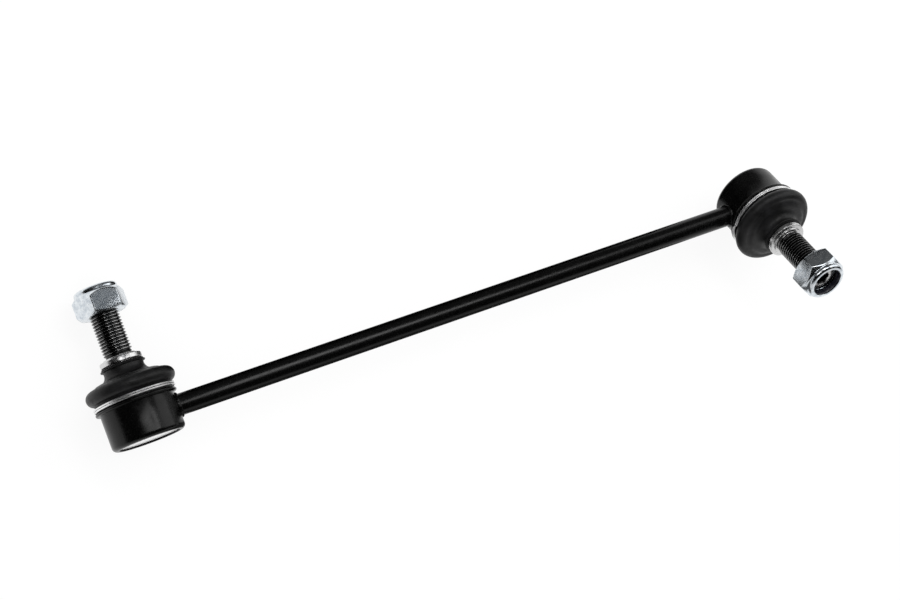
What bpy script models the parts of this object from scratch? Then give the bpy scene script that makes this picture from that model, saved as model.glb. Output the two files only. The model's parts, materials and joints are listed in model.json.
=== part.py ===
"""Stabilizer link: a steel rod welded between two ball joint housings.

Each end holds a threaded ball stud in a plastic seat, a rubber boot with a wire clamp, and a self-locking nut.
The rod lies along X. Each end is built upright around its own stud axis, with the rod axis at height zero,
and is then turned to the direction in which its stud points while the link lies on a table.
"""
import math

import bmesh
import bpy
from mathutils import Vector

MM = 0.001

# Whole link
CENTRE_DISTANCE = 290.0 * MM
STUD_ANGLE_DEG = 144.0
SEATING_GAP = 0.3 * MM
RUNNING_GAP = 0.3 * MM
SWING_DEG = 25.0

# Rod and its welds
ROD_RADIUS = 4.4 * MM
WELD_LEG_ALONG = 2.4 * MM
WELD_LEG_OUT = 0.6 * MM
WELD_TIP = 0.25 * MM

# Housing: a forged cup, open at the top for the stud and closed at the bottom by a rolled lip
HOUSING_RADIUS = 15.0 * MM
HOUSING_DEPTH = 9.5 * MM
HOUSING_EDGE_RADIUS = 2.0 * MM
BORE_WALL = 3.0 * MM
POCKET_WALL = 1.5 * MM
LIP_WIDTH = 2.5 * MM
LIP_THICKNESS = 0.9 * MM
FLANGE_OVERHANG = 1.6 * MM
FLANGE_THICKNESS = 1.3 * MM
FLANGE_TOP = 6.9 * MM
NECK_INSET = 0.7 * MM
NECK_HEIGHT = 2.7 * MM

# Closing plate behind the seat
CAP_THICKNESS = 1.5 * MM
CAP_EDGE = 0.3 * MM

# Ball stud
BALL_RADIUS = 8.0 * MM
BALL_HEIGHT = 2.6 * MM
SHANK_RADIUS = 5.0 * MM
UPPER_SHANK_RADIUS = 6.0 * MM
TAPER_BOTTOM = 14.5 * MM
TAPER_LENGTH = 2.0 * MM
COLLAR_BOTTOM = 22.8 * MM
COLLAR_RADIUS = 8.5 * MM
COLLAR_THICKNESS = 2.1 * MM
COLLAR_EDGE = 0.3 * MM
STEP_RADIUS = 6.7 * MM
STEP_HEIGHT = 0.7 * MM
THREAD_RADIUS = 5.95 * MM
THREAD_RELIEF = 0.6 * MM
STUD_TIP = 51.2 * MM
TIP_CHAMFER = 0.9 * MM
SOCKET_ACROSS_FLATS = 6.0 * MM
SOCKET_DEPTH = 5.0 * MM

# Plastic ball seat
SEAT_WRAP = 3.2 * MM
SEAT_FLOOR_HOLE = 2.5 * MM

# Rubber boot: sleeve on the housing neck, rounded rim, flare and upper neck
SLEEVE_WALL = 1.0 * MM
RIM_ARC_RADIUS = 3.0 * MM
RIM_OVERHANG = 0.9 * MM
RIM_RISE = 3.3 * MM
RIM_ARC_END_DEG = -72.0
BOOT_WALL = 1.7 * MM
FLARE_RADIUS = 3.3 * MM
BOOT_NECK_LENGTH = 0.8 * MM
BOOT_NECK_RADIUS = 8.2 * MM
BOOT_LIP_RADIUS = 9.2 * MM
BOOT_LIP_THICKNESS = 1.3 * MM
BOOT_LIP_EDGE = 0.5 * MM

# Bush inside the boot's upper neck
BUSH_WALL = 0.7 * MM
BUSH_LENGTH = 3.0 * MM

# Wire clamp around the boot's sleeve
CLAMP_WIRE = 0.8 * MM
CLAMP_TURNS = 2
CLAMP_TURN_SPACING = 0.87 * MM

# Self-locking hexagon nut
NUT_ACROSS_FLATS = 19.0 * MM
NUT_BOTTOM = 43.3 * MM
NUT_HEX_HEIGHT = 9.0 * MM
NUT_HEIGHT = 11.3 * MM
NUT_CHAMFER_DEG = 30.0
NUT_FACE_RADIUS = 9.1 * MM
NUT_CROWN_RADIUS = 8.9 * MM
NUT_CROWN_WALL = 0.7 * MM
NUT_OPENING_RADIUS = 6.8 * MM
NUT_BORE_CHAMFER = 0.7 * MM
INSERT_HEIGHT = 2.6 * MM
NUT_TURNS_DEG = {"left": 16.0, "right": 30.0}

# Facets: the most that a facet may lie inside its true curve
TURN_TOLERANCE = 0.08 * MM
ARC_TOLERANCE = 0.07 * MM
SHARP_EDGE_DEG = 40.0
MERGE_DISTANCE = 0.01 * MM
CUT_MARGIN = 2.0 * MM

# Sizes that follow from those above
SEAT_BORE_RADIUS = HOUSING_RADIUS - BORE_WALL
POCKET_RADIUS = HOUSING_RADIUS - POCKET_WALL
LIP_OPENING_RADIUS = HOUSING_RADIUS - LIP_WIDTH
FLANGE_RADIUS = HOUSING_RADIUS + FLANGE_OVERHANG
NECK_RADIUS = HOUSING_RADIUS - NECK_INSET
CAP_RADIUS = POCKET_RADIUS - SEATING_GAP
CAP_FACE = -HOUSING_DEPTH + LIP_THICKNESS + SEATING_GAP
CAP_TOP = CAP_FACE + CAP_THICKNESS
NECK_TOP = FLANGE_TOP + NECK_HEIGHT
SEAT_TOP = BALL_HEIGHT + SEAT_WRAP
SHOULDER = SEAT_TOP + SEATING_GAP
BOOT_SLEEVE_INNER = NECK_RADIUS + SEATING_GAP
BOOT_SLEEVE_OUTER = BOOT_SLEEVE_INNER + SLEEVE_WALL
RIM_ARC_CENTRE_RADIUS = NECK_RADIUS + RIM_OVERHANG
RIM_ARC_CENTRE_HEIGHT = NECK_TOP + RIM_RISE
BOOT_BOTTOM = FLANGE_TOP + SEATING_GAP
BOOT_TOP = COLLAR_BOTTOM - SEATING_GAP
FLARE_CENTRE_HEIGHT = BOOT_TOP - BOOT_LIP_THICKNESS - BOOT_NECK_LENGTH
BUSH_INNER = UPPER_SHANK_RADIUS + RUNNING_GAP
BUSH_OUTER = BUSH_INNER + BUSH_WALL
BOOT_NECK_INNER = BUSH_OUTER + SEATING_GAP
COLLAR_TOP = COLLAR_BOTTOM + COLLAR_THICKNESS
NUT_TOP = NUT_BOTTOM + NUT_HEIGHT
NUT_HEX_TOP = NUT_BOTTOM + NUT_HEX_HEIGHT
NUT_CORNER_RADIUS = NUT_ACROSS_FLATS / math.sqrt(3.0)
NUT_BORE_RADIUS = THREAD_RADIUS + RUNNING_GAP
INSERT_OUTER = NUT_CROWN_RADIUS - NUT_CROWN_WALL - SEATING_GAP

COLOURS = {
    "black_paint": ((0.012, 0.012, 0.013), 0.35, 0.3),
    "rubber": ((0.018, 0.018, 0.018), 0.7, 0.0),
    "zinc": ((0.75, 0.77, 0.8), 0.25, 1.0),
    "steel": ((0.45, 0.45, 0.45), 0.35, 1.0),
    "phosphated_thread": ((0.12, 0.12, 0.12), 0.4, 1.0),
    "seat_plastic": ((0.75, 0.74, 0.68), 0.45, 0.0),
    "insert_plastic": ((0.02, 0.03, 0.08), 0.5, 0.0),
}


def clear_scene():
    """Remove every object of the open scene."""
    for obj in list(bpy.data.objects):
        bpy.data.objects.remove(obj, do_unlink=True)


def new_collection(name):
    """Make a collection in the scene."""
    collection = bpy.data.collections.new(name)
    bpy.context.scene.collection.children.link(collection)
    return collection


def material(name, finish):
    """Make a material of its own for one object."""
    colour, roughness, metallic = COLOURS[finish]
    made = bpy.data.materials.new(name)
    made.use_nodes = True
    shader = made.node_tree.nodes["Principled BSDF"]
    shader.inputs["Base Color"].default_value = (*colour, 1.0)
    shader.inputs["Roughness"].default_value = roughness
    shader.inputs["Metallic"].default_value = metallic
    return made


def empty(name, parent, location=(0, 0, 0), rotation=(0, 0, 0)):
    """Make an empty that carries other objects."""
    made = bpy.data.objects.new(name, None)
    PARTS.objects.link(made)
    made.parent = parent
    made.location = location
    made.rotation_euler = rotation
    return made


def part(name, mesh, parent, finish):
    """Make a part from a mesh, with a material of its own."""
    made = bpy.data.objects.new(name, mesh)
    PARTS.objects.link(made)
    made.parent = parent
    made.data.materials.append(material(name + "_material", finish))
    return made


def cutter(name, mesh, parent):
    """Make a guide object that only cuts parts."""
    made = bpy.data.objects.new(name, mesh)
    CUTTERS.objects.link(made)
    made.parent = parent
    made.hide_render = True
    made.display_type = "WIRE"
    return made


def boolean(target, tool, operation):
    """Cut a part by a guide, or keep what both share."""
    modifier = target.modifiers.new(operation.lower(), "BOOLEAN")
    modifier.operation = operation
    modifier.object = tool
    modifier.solver = "EXACT"


def facet_count(radius, sweep, tolerance):
    """Number of facets that keep a swept curve within the tolerance of its true shape."""
    return math.ceil(sweep / (2 * math.acos(1 - tolerance / radius)))


def turn_steps(radius):
    """Facets around a full turn, in fours so that opposite sides match."""
    return 4 * math.ceil(facet_count(radius, 2 * math.pi, TURN_TOLERANCE) / 4)


def arc(centre_radius, centre_height, radius, start_deg, end_deg):
    """Points of an arc in the profile plane, both ends included."""
    count = max(2, facet_count(radius, math.radians(abs(end_deg - start_deg)), ARC_TOLERANCE))
    points = []
    for i in range(count + 1):
        angle = math.radians(start_deg + (end_deg - start_deg) * i / count)
        points.append((centre_radius + radius * math.cos(angle), centre_height + radius * math.sin(angle)))
    return points


def profile_mesh(name, points, closed, base):
    """A profile in the XZ plane, with heights counted from base."""
    mesh = bpy.data.meshes.new(name)
    edges = [(i, i + 1) for i in range(len(points) - 1)]
    if closed:
        edges.append((len(points) - 1, 0))
    mesh.from_pydata([(radius, 0.0, height - base) for radius, height in points], edges, [])
    return mesh


def add_screw(obj):
    """Turn a profile about the object's Z axis."""
    steps = turn_steps(max(vertex.co.x for vertex in obj.data.vertices))
    turn = obj.modifiers.new("turn", "SCREW")
    turn.steps = steps
    turn.render_steps = steps
    turn.use_merge_vertices = True
    turn.merge_threshold = MERGE_DISTANCE
    turn.use_smooth_shade = True


def turned(name, points, parent, finish, closed=True, base=0.0):
    """A turned part: its profile runs down the outer side and, when closed, up the inner side."""
    made = part(name, profile_mesh(name, points, closed, base), parent, finish)
    made.location.z = base
    add_screw(made)
    return made


def cone_mesh(name, radius, length, sides):
    """A closed cylinder or prism along Z, centred on its origin."""
    mesh = bpy.data.meshes.new(name)
    shape = bmesh.new()
    bmesh.ops.create_cone(shape, cap_ends=True, segments=sides, radius1=radius, radius2=radius, depth=length)
    shape.to_mesh(mesh)
    shape.free()
    return mesh


def shade_round(obj):
    """Smooth shading with sharp edges where the facets turn by more than the limit."""
    obj.data.shade_smooth()
    obj.data.set_sharp_from_angle(angle=math.radians(SHARP_EDGE_DEG))


def mouth_radius(height):
    """Radius that the housing's mouth needs at a height, so that the tilted shank clears it."""
    swing = math.radians(SWING_DEG)
    above_ball = height - BALL_HEIGHT
    return above_ball * math.tan(swing) + SHANK_RADIUS / math.cos(swing) + RUNNING_GAP


def make_housing(side, parent):
    """Cup with flange, neck, conical mouth, seat bore, plate pocket and rolled lip."""
    edge = HOUSING_EDGE_RADIUS
    flange_edge = FLANGE_THICKNESS / 2
    points = [(NECK_RADIUS, NECK_TOP), (NECK_RADIUS, FLANGE_TOP)]
    points += arc(FLANGE_RADIUS - flange_edge, FLANGE_TOP - flange_edge, flange_edge, 90, -90)
    points += [(HOUSING_RADIUS, FLANGE_TOP - FLANGE_THICKNESS)]
    points += arc(HOUSING_RADIUS - edge, -HOUSING_DEPTH + edge, edge, 0, -90)
    points += [
        (LIP_OPENING_RADIUS, -HOUSING_DEPTH),
        (LIP_OPENING_RADIUS, -HOUSING_DEPTH + LIP_THICKNESS),
        (POCKET_RADIUS, -HOUSING_DEPTH + LIP_THICKNESS),
        (POCKET_RADIUS, CAP_TOP + SEATING_GAP),
        (SEAT_BORE_RADIUS, CAP_TOP + SEATING_GAP),
        (SEAT_BORE_RADIUS, SHOULDER),
        (mouth_radius(SHOULDER), SHOULDER),
        (mouth_radius(NECK_TOP), NECK_TOP),
    ]
    turned(side + "_housing", points, parent, "black_paint")


def make_housing_room(side, parent):
    """Guide that clears the housing's outside by the seating gap."""
    body = HOUSING_RADIUS + SEATING_GAP
    flange = FLANGE_RADIUS + SEATING_GAP
    flange_bottom = FLANGE_TOP - FLANGE_THICKNESS - SEATING_GAP
    top = NECK_TOP + CUT_MARGIN
    bottom = -HOUSING_DEPTH - CUT_MARGIN
    points = [(0.0, top), (flange, top), (flange, flange_bottom), (body, flange_bottom), (body, bottom), (0.0, bottom)]
    room = cutter(side + "_housing_room", profile_mesh("housing_room", points, False, 0.0), parent)
    add_screw(room)


def make_cap(side, parent):
    """Closing plate with broken edges."""
    points = [
        (0.0, CAP_TOP),
        (CAP_RADIUS - CAP_EDGE, CAP_TOP),
        (CAP_RADIUS, CAP_TOP - CAP_EDGE),
        (CAP_RADIUS, CAP_FACE + CAP_EDGE),
        (CAP_RADIUS - CAP_EDGE, CAP_FACE),
        (0.0, CAP_FACE),
    ]
    turned(side + "_end_cap", points, parent, "zinc", closed=False)


def make_seat(side, parent):
    """Plastic seat: a cup that wraps the ball past its widest circle."""
    hollow = BALL_RADIUS + RUNNING_GAP
    outer = SEAT_BORE_RADIUS - SEATING_GAP
    bottom = CAP_TOP + SEATING_GAP
    hole_deg = math.degrees(math.acos(SEAT_FLOOR_HOLE / hollow))
    wrap_deg = math.degrees(math.asin(SEAT_WRAP / hollow))
    points = [(outer, SEAT_TOP), (outer, bottom), (SEAT_FLOOR_HOLE, bottom)]
    points += arc(0.0, BALL_HEIGHT, hollow, -hole_deg, wrap_deg)
    turned(side + "_ball_seat", points, parent, "seat_plastic", base=BALL_HEIGHT)


def make_stud(side, parent):
    """Ball, tapered shank, collar, threaded shaft and hexagon socket, forged in one piece."""
    relief = THREAD_RADIUS - THREAD_RELIEF
    step_top = COLLAR_TOP + STEP_HEIGHT
    ball_top_deg = math.degrees(math.acos(SHANK_RADIUS / BALL_RADIUS))
    points = [
        (0.0, STUD_TIP),
        (THREAD_RADIUS - TIP_CHAMFER, STUD_TIP),
        (THREAD_RADIUS, STUD_TIP - TIP_CHAMFER),
        (THREAD_RADIUS, step_top + 2 * THREAD_RELIEF),
        (relief, step_top + THREAD_RELIEF),
        (relief, step_top),
        (STEP_RADIUS, step_top),
        (STEP_RADIUS, COLLAR_TOP),
        (COLLAR_RADIUS - COLLAR_EDGE, COLLAR_TOP),
        (COLLAR_RADIUS, COLLAR_TOP - COLLAR_EDGE),
        (COLLAR_RADIUS, COLLAR_BOTTOM + COLLAR_EDGE),
        (COLLAR_RADIUS - COLLAR_EDGE, COLLAR_BOTTOM),
        (UPPER_SHANK_RADIUS, COLLAR_BOTTOM),
        (UPPER_SHANK_RADIUS, TAPER_BOTTOM + TAPER_LENGTH),
        (SHANK_RADIUS, TAPER_BOTTOM),
    ]
    points += arc(0.0, BALL_HEIGHT, BALL_RADIUS, ball_top_deg, -90)
    stud = turned(side + "_ball_stud", points, parent, "phosphated_thread", closed=False, base=BALL_HEIGHT)
    socket_mesh = cone_mesh("hexagon_socket", SOCKET_ACROSS_FLATS / math.sqrt(3.0), 2 * SOCKET_DEPTH, 6)
    socket = cutter(side + "_socket_cutter", socket_mesh, parent)
    socket.location.z = STUD_TIP
    boolean(stud, socket, "DIFFERENCE")


def make_boot(side, parent):
    """Rubber boot as a turned wall, open at both ends."""
    rim, rim_radius, rim_height = RIM_ARC_RADIUS, RIM_ARC_CENTRE_RADIUS, RIM_ARC_CENTRE_HEIGHT
    flare_centre = BOOT_NECK_RADIUS + FLARE_RADIUS
    lip_bottom = BOOT_TOP - BOOT_LIP_THICKNESS
    points = [
        (BOOT_NECK_INNER, BOOT_TOP),
        (BOOT_LIP_RADIUS - BOOT_LIP_EDGE, BOOT_TOP),
        (BOOT_LIP_RADIUS, BOOT_TOP - BOOT_LIP_EDGE),
        (BOOT_LIP_RADIUS, lip_bottom + BOOT_LIP_EDGE / 2),
        (BOOT_NECK_RADIUS, lip_bottom),
    ]
    points += arc(flare_centre, FLARE_CENTRE_HEIGHT, FLARE_RADIUS, 180, 270)
    points += arc(rim_radius, rim_height, rim, 90, RIM_ARC_END_DEG)
    points += [
        (BOOT_SLEEVE_OUTER, BOOT_BOTTOM + CLAMP_TURNS * CLAMP_TURN_SPACING + SEATING_GAP),
        (BOOT_SLEEVE_OUTER, BOOT_BOTTOM),
        (BOOT_SLEEVE_INNER, BOOT_BOTTOM),
        (BOOT_SLEEVE_INNER, NECK_TOP),
    ]
    points += arc(rim_radius, rim_height, rim - BOOT_WALL, RIM_ARC_END_DEG, 90)
    neck_wall = BOOT_NECK_RADIUS - BOOT_NECK_INNER
    inner_flare_height = FLARE_CENTRE_HEIGHT - BOOT_WALL + neck_wall
    points += arc(flare_centre, inner_flare_height, FLARE_RADIUS + neck_wall, 270, 180)
    turned(side + "_dust_boot", points, parent, "rubber")


def make_bush(side, parent):
    """Thin bush between the stud's upper shank and the boot's neck."""
    bottom = BOOT_TOP - BUSH_LENGTH
    points = [(BUSH_OUTER, BOOT_TOP), (BUSH_OUTER, bottom), (BUSH_INNER, bottom), (BUSH_INNER, BOOT_TOP)]
    turned(side + "_boot_bush", points, parent, "steel", base=BALL_HEIGHT)


def make_clamp(side, parent):
    """Wire clamp: a helix of two close turns."""
    coil_radius = BOOT_SLEEVE_OUTER + RUNNING_GAP + CLAMP_WIRE / 2
    points_per_turn = turn_steps(coil_radius)
    count = CLAMP_TURNS * points_per_turn
    curve = bpy.data.curves.new(side + "_clamp_curve", "CURVE")
    curve.dimensions = "3D"
    curve.bevel_depth = CLAMP_WIRE / 2
    curve.bevel_resolution = 2
    curve.use_fill_caps = True
    spline = curve.splines.new("POLY")
    spline.points.add(count - 1)
    for i, point in enumerate(spline.points):
        angle = 2 * math.pi * i / points_per_turn
        rise = CLAMP_TURN_SPACING * (i / points_per_turn - CLAMP_TURNS / 2)
        height = BOOT_BOTTOM + CLAMP_TURNS * CLAMP_TURN_SPACING / 2 + rise
        point.co = (coil_radius * math.cos(angle), coil_radius * math.sin(angle), height, 1.0)
    part(side + "_boot_clamp", curve, parent, "zinc")


def make_nut(side, parent):
    """Hexagon nut with chamfered ends and a crimped crown over its nylon insert."""
    slope = math.tan(math.radians(NUT_CHAMFER_DEG))
    reach = NUT_CORNER_RADIUS + CUT_MARGIN
    drop = (reach - NUT_FACE_RADIUS) * slope
    crown_edge = (NUT_TOP - NUT_HEX_TOP) / 2
    insert_bottom = NUT_HEX_TOP - SEATING_GAP - RUNNING_GAP
    pocket = INSERT_OUTER + SEATING_GAP
    pocket_top = insert_bottom + INSERT_HEIGHT + SEATING_GAP
    points = [(NUT_OPENING_RADIUS, NUT_TOP)]
    points += arc(NUT_CROWN_RADIUS - crown_edge, NUT_TOP - crown_edge, crown_edge, 90, 0)
    points += [
        (NUT_CROWN_RADIUS, NUT_HEX_TOP),
        (NUT_FACE_RADIUS, NUT_HEX_TOP),
        (reach, NUT_HEX_TOP - drop),
        (reach, NUT_BOTTOM + drop),
        (NUT_FACE_RADIUS, NUT_BOTTOM),
        (NUT_BORE_RADIUS + NUT_BORE_CHAMFER, NUT_BOTTOM),
        (NUT_BORE_RADIUS, NUT_BOTTOM + NUT_BORE_CHAMFER),
        (NUT_BORE_RADIUS, insert_bottom - SEATING_GAP),
        (pocket, insert_bottom - SEATING_GAP),
        (pocket, pocket_top),
        (NUT_OPENING_RADIUS, pocket_top),
    ]
    half_facet = math.pi / turn_steps(reach)
    carrier = empty(side + "_nut_axis", parent, rotation=(0, 0, math.radians(NUT_TURNS_DEG[side]) - half_facet))
    nut = turned(side + "_lock_nut", points, carrier, "zinc", base=NUT_BOTTOM)
    hexagon = cutter(side + "_nut_hexagon", cone_mesh("nut_hexagon", NUT_CORNER_RADIUS, 4 * NUT_HEIGHT, 6), carrier)
    hexagon.location.z = NUT_BOTTOM
    hexagon.rotation_euler.z = half_facet
    boolean(nut, hexagon, "INTERSECT")
    insert = [
        (INSERT_OUTER, insert_bottom + INSERT_HEIGHT),
        (INSERT_OUTER, insert_bottom),
        (NUT_BORE_RADIUS, insert_bottom),
        (NUT_BORE_RADIUS, insert_bottom + INSERT_HEIGHT),
    ]
    turned(side + "_nut_insert", insert, carrier, "insert_plastic", base=NUT_BOTTOM)


def make_weld(side, parent):
    """Fillet weld around the rod's end, shaped to the round housing."""
    inner = ROD_RADIUS + SEATING_GAP
    start = HOUSING_RADIUS + WELD_LEG_ALONG
    outer_top = ROD_RADIUS + SEATING_GAP + WELD_TIP
    outer_root = ROD_RADIUS + SEATING_GAP + WELD_LEG_OUT
    inside = HOUSING_RADIUS - CUT_MARGIN
    points = [(inner, start), (outer_top, start), (outer_root, HOUSING_RADIUS + WELD_TIP)]
    points += [(outer_root, inside), (inner, inside)]
    weld = turned(side + "_weld_bead", points, parent, "black_paint")
    weld.rotation_euler.y = math.radians(90.0)
    boolean(weld, bpy.data.objects[side + "_housing_room"], "DIFFERENCE")


def make_end(side, centre_x, stud_deg, parent):
    """One ball joint: stud_deg is the stud's direction, counted about X from +Y towards +Z."""
    if side == "left":
        rotation = (math.radians(stud_deg - 90.0), 0.0, 0.0)
    else:
        rotation = (math.radians(90.0 - stud_deg), 0.0, math.pi)
    end = empty(side + "_end", parent, (centre_x, 0.0, 0.0), rotation)
    make_housing_room(side, end)
    make_housing(side, end)
    make_cap(side, end)
    make_seat(side, end)
    make_stud(side, end)
    make_boot(side, end)
    make_bush(side, end)
    make_clamp(side, end)
    make_nut(side, end)
    make_weld(side, end)


def make_rod(parent):
    """Round rod, coped at both ends to the housings."""
    length = CENTRE_DISTANCE - 2 * HOUSING_RADIUS + CUT_MARGIN
    rod = part("link_rod", cone_mesh("link_rod", ROD_RADIUS, length, turn_steps(ROD_RADIUS)), parent, "black_paint")
    rod.rotation_euler.y = math.radians(90.0)
    shade_round(rod)
    for side in ("left", "right"):
        boolean(rod, bpy.data.objects[side + "_housing_room"], "DIFFERENCE")


def resting_dip():
    """Angle below horizontal of the left stud when its boot rim and its nut touch the table."""
    run = NUT_HEX_TOP - RIM_ARC_CENTRE_HEIGHT
    rise = RIM_ARC_CENTRE_RADIUS - NUT_CORNER_RADIUS
    return math.degrees(math.atan2(rise, run) + math.asin(RIM_ARC_RADIUS / math.hypot(run, rise)))


def stand_on_table(root):
    """Move the link so that the bottom centre of its box is the world origin."""
    bpy.context.view_layer.update()
    graph = bpy.context.evaluated_depsgraph_get()
    corners = []
    for obj in PARTS.objects:
        if obj.type == "EMPTY":
            continue
        shape = obj.evaluated_get(graph)
        mesh = shape.to_mesh()
        corners += [shape.matrix_world @ vertex.co for vertex in mesh.vertices]
        shape.to_mesh_clear()
    low = Vector([min(corner[i] for corner in corners) for i in range(3)])
    high = Vector([max(corner[i] for corner in corners) for i in range(3)])
    root.location = (-(low.x + high.x) / 2, -(low.y + high.y) / 2, -low.z)


clear_scene()
PARTS = new_collection("stabilizer_link")
CUTTERS = new_collection("cutters")
LINK = empty("link_frame", None)
LEFT_DEG = -resting_dip()
make_end("left", -CENTRE_DISTANCE / 2, LEFT_DEG, LINK)
make_end("right", CENTRE_DISTANCE / 2, LEFT_DEG + STUD_ANGLE_DEG, LINK)
make_rod(LINK)
stand_on_table(LINK)
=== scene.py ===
"""Looks of the stabilizer link: turned pieces, threads, nuts, boots, finishes, floor, lights and camera.

Each end is built upright around its own stud axis, with the rod axis at height zero. It is set in place by
the ball centre and the stud axis that the frame's joints give. Sizes are in millimetres until a mesh is
made; the camera, lights, cards and floor are in metres.
"""
import json
import math

import bmesh
import bpy
from mathutils import Matrix, Vector, noise


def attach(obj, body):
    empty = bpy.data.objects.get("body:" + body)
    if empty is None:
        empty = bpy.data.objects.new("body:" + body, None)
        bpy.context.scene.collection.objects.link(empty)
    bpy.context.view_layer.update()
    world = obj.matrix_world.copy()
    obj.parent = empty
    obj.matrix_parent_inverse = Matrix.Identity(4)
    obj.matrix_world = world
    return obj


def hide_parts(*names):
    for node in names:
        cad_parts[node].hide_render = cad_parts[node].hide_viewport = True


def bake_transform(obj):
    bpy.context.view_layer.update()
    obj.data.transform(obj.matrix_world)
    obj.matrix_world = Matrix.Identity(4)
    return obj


MM = 0.001
MERGE_DISTANCE = 1e-6
SHARP_ANGLE_DEG = 38.0

# Stud, as in the CAD model
BALL_HEIGHT = 2.6
BALL_RADIUS = 8.0
SHANK_RADIUS = 5.0
UPPER_SHANK_RADIUS = 6.0
TAPER_BOTTOM = 14.5
TAPER_LENGTH = 2.0
COLLAR_BOTTOM = 22.8
COLLAR_RADIUS = 8.5
COLLAR_THICKNESS = 2.1
COLLAR_EDGE = 0.35
STEP_RADIUS = 6.7
STEP_HEIGHT = 0.7
THREAD_RADIUS = 5.95
THREAD_PITCH = 1.25
THREAD_DEPTH = 0.74
STUD_TIP = 51.2
TIP_CHAMFER = 0.9
SOCKET_ACROSS_FLATS = 6.0
SOCKET_DEPTH = 5.0
SOCKET_CHAMFER = 0.35
DRILL_POINT_RADIUS = 0.25
DRILL_POINT_DEPTH = 0.9
TIP_EDGE = 0.1
TIP_FACE_MARGIN = 0.15
STEP_EDGE = 0.2
STEP_FOOT_WIDTH = 0.12
STEP_FOOT_HEIGHT = 0.08
BALL_END_DEG = -88
THREAD_START = 0.35
THREAD_RUN_OUT_PITCHES = 1.2

# One pitch of the thread: share of the pitch, share of the depth
THREAD_PROFILE = ((0.0, 0.0), (0.16, 0.0), (0.44, 1.0), (0.56, 1.0), (0.84, 0.0))

# Painted light on the stud: depths below the crest at which the painted shade of the thread roots and the
# painted glints of the crests are full, and fades above the step and below the tip, where the painted shade
# gives way to the plain colour
ROOT_SHADE_DEPTH = 0.45
CREST_GLINT_DEPTH = 0.02
CREST_GLINT_SHARE = 0.6
STEP_FADE = (0.3, 0.1)
TIP_FADE = (1.1, 0.9)

# Housing and closing plate
HOUSING_RADIUS = 15.0
HOUSING_DEPTH = 9.5
HOUSING_EDGE_RADIUS = 2.0
POCKET_RADIUS = 13.5
SEAT_BORE_RADIUS = 12.0
LIP_OPENING_RADIUS = 12.5
LIP_THICKNESS = 0.9
FLANGE_RADIUS = 16.6
FLANGE_THICKNESS = 1.3
FLANGE_TOP = 6.9
NECK_RADIUS = 14.3
NECK_TOP = 9.6
SHOULDER = 6.1
MOUTH_BOTTOM_RADIUS = 7.45
MOUTH_TOP_RADIUS = 9.08
CAP_RADIUS = 13.2
CAP_FACE = -8.3
CAP_TOP = -6.8
CAP_EDGE = 0.3
CAP_RAISED_RADIUS = 12.3
CAP_RAISE = 0.55
CAP_CENTRE_RADIUS = 0.5
CAP_PLAY = 0.3
HOUSING_SMALL_EDGE = 0.2
HOUSING_WALL_STEP = 5.0
FLANGE_ROOT = ((0.35, 0.0), (0.1, 0.12), (0.0, 0.4))

# Boot and clamp
BOOT_BOTTOM = 7.2
BOOT_TOP = 22.5
SLEEVE_INNER = 14.6
SLEEVE_OUTER = 15.6
RIM_ARC_RADIUS = 3.0
RIM_CENTRE_RADIUS = 15.2
RIM_CENTRE_HEIGHT = 12.9
RIM_ARC_END_DEG = -72.0
BOOT_WALL = 1.7
FLARE_RADIUS = 3.3
FLARE_CENTRE_HEIGHT = 20.4
BOOT_NECK_RADIUS = 8.2
BOOT_NECK_INNER = 7.3
BOOT_LIP_RADIUS = 9.2
BOOT_LIP_THICKNESS = 1.3
CLAMP_WIRE_RADIUS = 0.4
CLAMP_COIL_RADIUS = 16.3
CLAMP_SPACING = 0.87
CLAMP_TURNS = 2
CLAMP_STEPS_PER_TURN = 120
CLAMP_WIRE_SEGMENTS = 12
BOOT_MOUTH_WIDTH = 0.9
BOOT_LIP_PROFILE = ((0.55, 0.1), (0.5, 0.35), (0.62, 0.55), (0.1, 0.7), (0.0, 0.85))
BOOT_LIP_EDGE = 0.15
BOOT_GROOVE_EASE = 0.1
FLARE_END_DEG = 268
FLARE_FOOT = ((12.4, 16.95), (13.2, 16.75), (13.6, 16.45))
RIM_OUTER_ARCS = ((96, 40, 12), (36, 28, 2), (20, RIM_ARC_END_DEG, 18))
SLEEVE_CLEARANCE = 0.3

# Nut
NUT_ACROSS_FLATS = 19.0
NUT_BOTTOM = 43.3
NUT_HEX_TOP = 52.3
NUT_TOP = 54.6
NUT_FACE_RADIUS = 9.05
NUT_TOP_CHAMFER_DEG = 42.0
NUT_BOTTOM_CHAMFER_DEG = 34.0
NUT_CROWN_RADIUS = 8.9
NUT_OPENING_RADIUS = 6.8
NUT_BORE_RADIUS = 6.25
NUT_BORE_CHAMFER = 0.7
NUT_CORNER_ROUND_DEG = 1.6
NUT_EDGE_SOFTENING = 0.25
NUT_POCKET_RADIUS = 8.2
INSERT_BOTTOM = 51.7
INSERT_TOP = 54.3
INSERT_OUTER = 7.9
INSERT_TOP_EASE = (0.35, 0.5)
INSERT_BOTTOM_EASE = 0.3
INSERT_ROOM_BELOW = 0.2
INSERT_ROOM_ABOVE = 0.1
NUT_TURNS_DEG = {"left": 4.5, "right": 8.5}
NUT_CORNER_STEPS = (-1.0, -0.6, -0.25, 0.25, 0.6, 1.0)
NUT_FACE_STEPS = 24
NUT_CORNER_EASE = 0.075
NUT_SIDE_EASE = 0.05
NUT_SOFT_SHARE = 0.35
NUT_OPENING_EDGE = 0.12
CROWN_ROUND_SHARE = 0.62
CROWN_FOOT = ((0.0, 0.25), (0.1, 0.05))

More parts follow.
